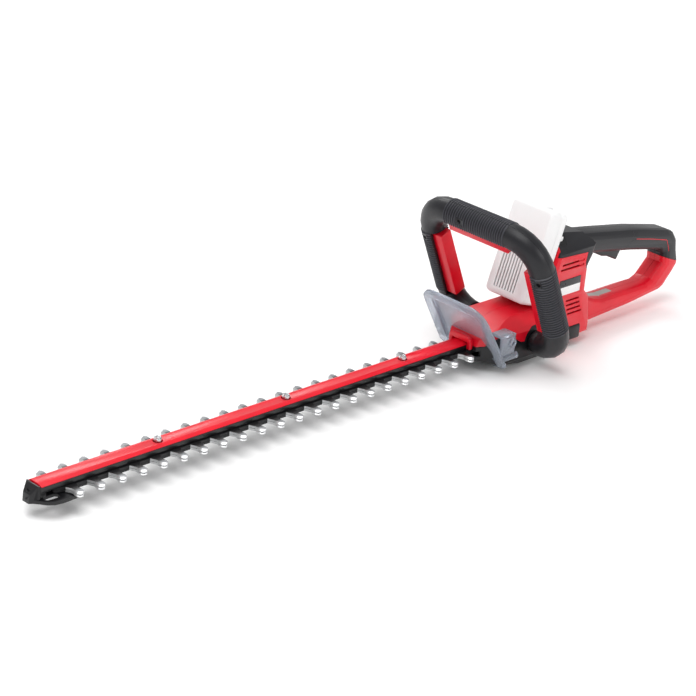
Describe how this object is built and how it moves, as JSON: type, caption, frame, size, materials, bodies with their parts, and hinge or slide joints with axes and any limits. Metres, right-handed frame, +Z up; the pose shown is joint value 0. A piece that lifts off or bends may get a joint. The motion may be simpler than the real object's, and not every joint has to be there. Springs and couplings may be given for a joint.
{
  "type": "hedge trimmer",
  "caption": "Cordless hedge trimmer with a double-sided reciprocating blade, clear hand guard, loop front handle with switch paddles, D-shaped rear handle and slide-on battery.",
  "frame": {"origin": "on the flat underside of the gearbox cover, in the middle plane", "axes": "+Z up, the blades point along -X, the rear handle is towards +X, the operator's left is -Y; pieces named right or left are so as seen from the blade end, right towards -Y"},
  "size_m": [0.9321, 0.1824, 0.1769],
  "materials": {
    "blade": "ground and satin, oiled",
    "rail": "black coated",
    "red_plastic": "satin moulded",
    "black_plastic": "fine grain",
    "soft_grip": "matte, fine ribs",
    "guard_clear": "smoked clear plastic",
    "fastener": "zinc plated",
    "gear_steel": "hardened",
    "casting": "as cast",
    "bearing": "sintered",
    "cell": "plated cans",
    "white_plastic": "satin moulded",
    "board": "lacquered board"
  },
  "bodies": {
    "trimmer": {"battery_rail": "black_plastic", "bearing_lower": "bearing", "bearing_upper": "bearing", "blade_rail": "rail", "control_board": "board", "gear_axle": "fastener", "gear_frame": "casting", "gearbox_cover": "black_plastic", "grip_left": "soft_grip", "grip_right": "soft_grip", "guard": "guard_clear", "housing_left": "red_plastic", "housing_right": "red_plastic", "housing_screw_1": "fastener", "housing_screw_2": "fastener", "housing_screw_3": "fastener", "housing_screw_4": "fastener", "label_plate_left": "black_plastic", "label_plate_right": "black_plastic", "loop_boss_left": "black_plastic", "loop_boss_right": "black_plastic", "loop_front": "black_plastic", "loop_rear": "black_plastic", "loop_screw_left": "fastener", "loop_screw_right": "fastener", "loop_screw_top": "fastener", "main_switch": "black_plastic", "motor_can": "gear_steel", "motor_end_cap": "black_plastic", "nose_collar": "red_plastic", "paddle_spring_left": "fastener", "paddle_spring_right": "fastener", "paddle_spring_top": "fastener", "rail_bolt_1": "fastener", "rail_bolt_2": "fastener", "rail_bolt_3": "fastener", "rail_cap": "red_plastic", "rail_nut_1": "fastener", "rail_nut_2": "fastener", "rail_nut_3": "fastener", "rear_foot": "black_plastic", "tip_protector": "black_plastic", "tip_screw": "fastener", "trigger_pin": "fastener", "trigger_spring": "fastener"},
    "upper_blade": {"blade_upper": "blade"},
    "lower_blade": {"blade_lower": "blade"},
    "crown_gear": {"drive_gear": "gear_steel"},
    "rotor": {"motor_rotor": "gear_steel"},
    "paddle_right_body": {"paddle_right": "red_plastic"},
    "paddle_left_body": {"paddle_left": "red_plastic"},
    "paddle_top_body": {"paddle_top": "red_plastic"},
    "trigger_body": {"trigger": "black_plastic"},
    "battery": {"battery_front": "white_plastic", "battery_back": "white_plastic", "battery_cells": "cell"},
    "battery_catch": {"battery_button": "white_plastic"}
  },
  "joints": [
    {"name": "blade_upper_stroke", "type": "slide", "parent": "trimmer", "child": "upper_blade", "axis": [1, 0, 0], "range_m": [-0.007, 0.007]},
    {"name": "blade_lower_stroke", "type": "slide", "parent": "trimmer", "child": "lower_blade", "axis": [1, 0, 0], "range_m": [-0.007, 0.007]},
    {"name": "crown_gear_turn", "type": "hinge", "parent": "trimmer", "child": "crown_gear", "pos_m": [-0.018, 0, 0.03], "axis": [0, 0, 1], "continuous": true},
    {"name": "rotor_turn", "type": "hinge", "parent": "trimmer", "child": "rotor", "pos_m": [0.045, 0, 0.0442], "axis": [1, 0, 0], "continuous": true},
    {"name": "paddle_right_press", "type": "slide", "parent": "trimmer", "child": "paddle_right_body", "axis": [0, -1, 0], "range_m": [0, 0.003], "stiffness_N_per_m": 1000, "springref_m": -0.004},
    {"name": "paddle_left_press", "type": "slide", "parent": "trimmer", "child": "paddle_left_body", "axis": [0, 1, 0], "range_m": [0, 0.003], "stiffness_N_per_m": 1000, "springref_m": -0.004},
    {"name": "paddle_top_press", "type": "slide", "parent": "trimmer", "child": "paddle_top_body", "axis": [-0.4164, 0, 0.9092], "range_m": [0, 0.003], "stiffness_N_per_m": 1000, "springref_m": -0.004},
    {"name": "trigger_pull", "type": "hinge", "parent": "trimmer", "child": "trigger_body", "pos_m": [0.1115, 0, 0.0983], "axis": [0, -1, 0], "range_deg": [0, 8], "stiffness_Nm_per_rad": 0.5, "springref_deg": -17.19, "deforming": ["trigger_spring"]},
    {"name": "battery_slide", "type": "slide", "parent": "trimmer", "child": "battery", "axis": [0.309, 0, 0.9511], "range_m": [0, 0.085]},
    {"name": "battery_catch_press", "type": "slide", "parent": "battery", "child": "battery_catch", "axis": [-0.309, 0, -0.9511], "range_m": [0, 0.0025], "stiffness_N_per_m": 800, "springref_m": -0.003}
  ],
  "couplings": [
    {"joint": "blade_lower_stroke", "follows": "blade_upper_stroke", "ratio": -1},
    {"joint": "rotor_turn", "follows": "crown_gear_turn", "ratio": -7}
  ]
}
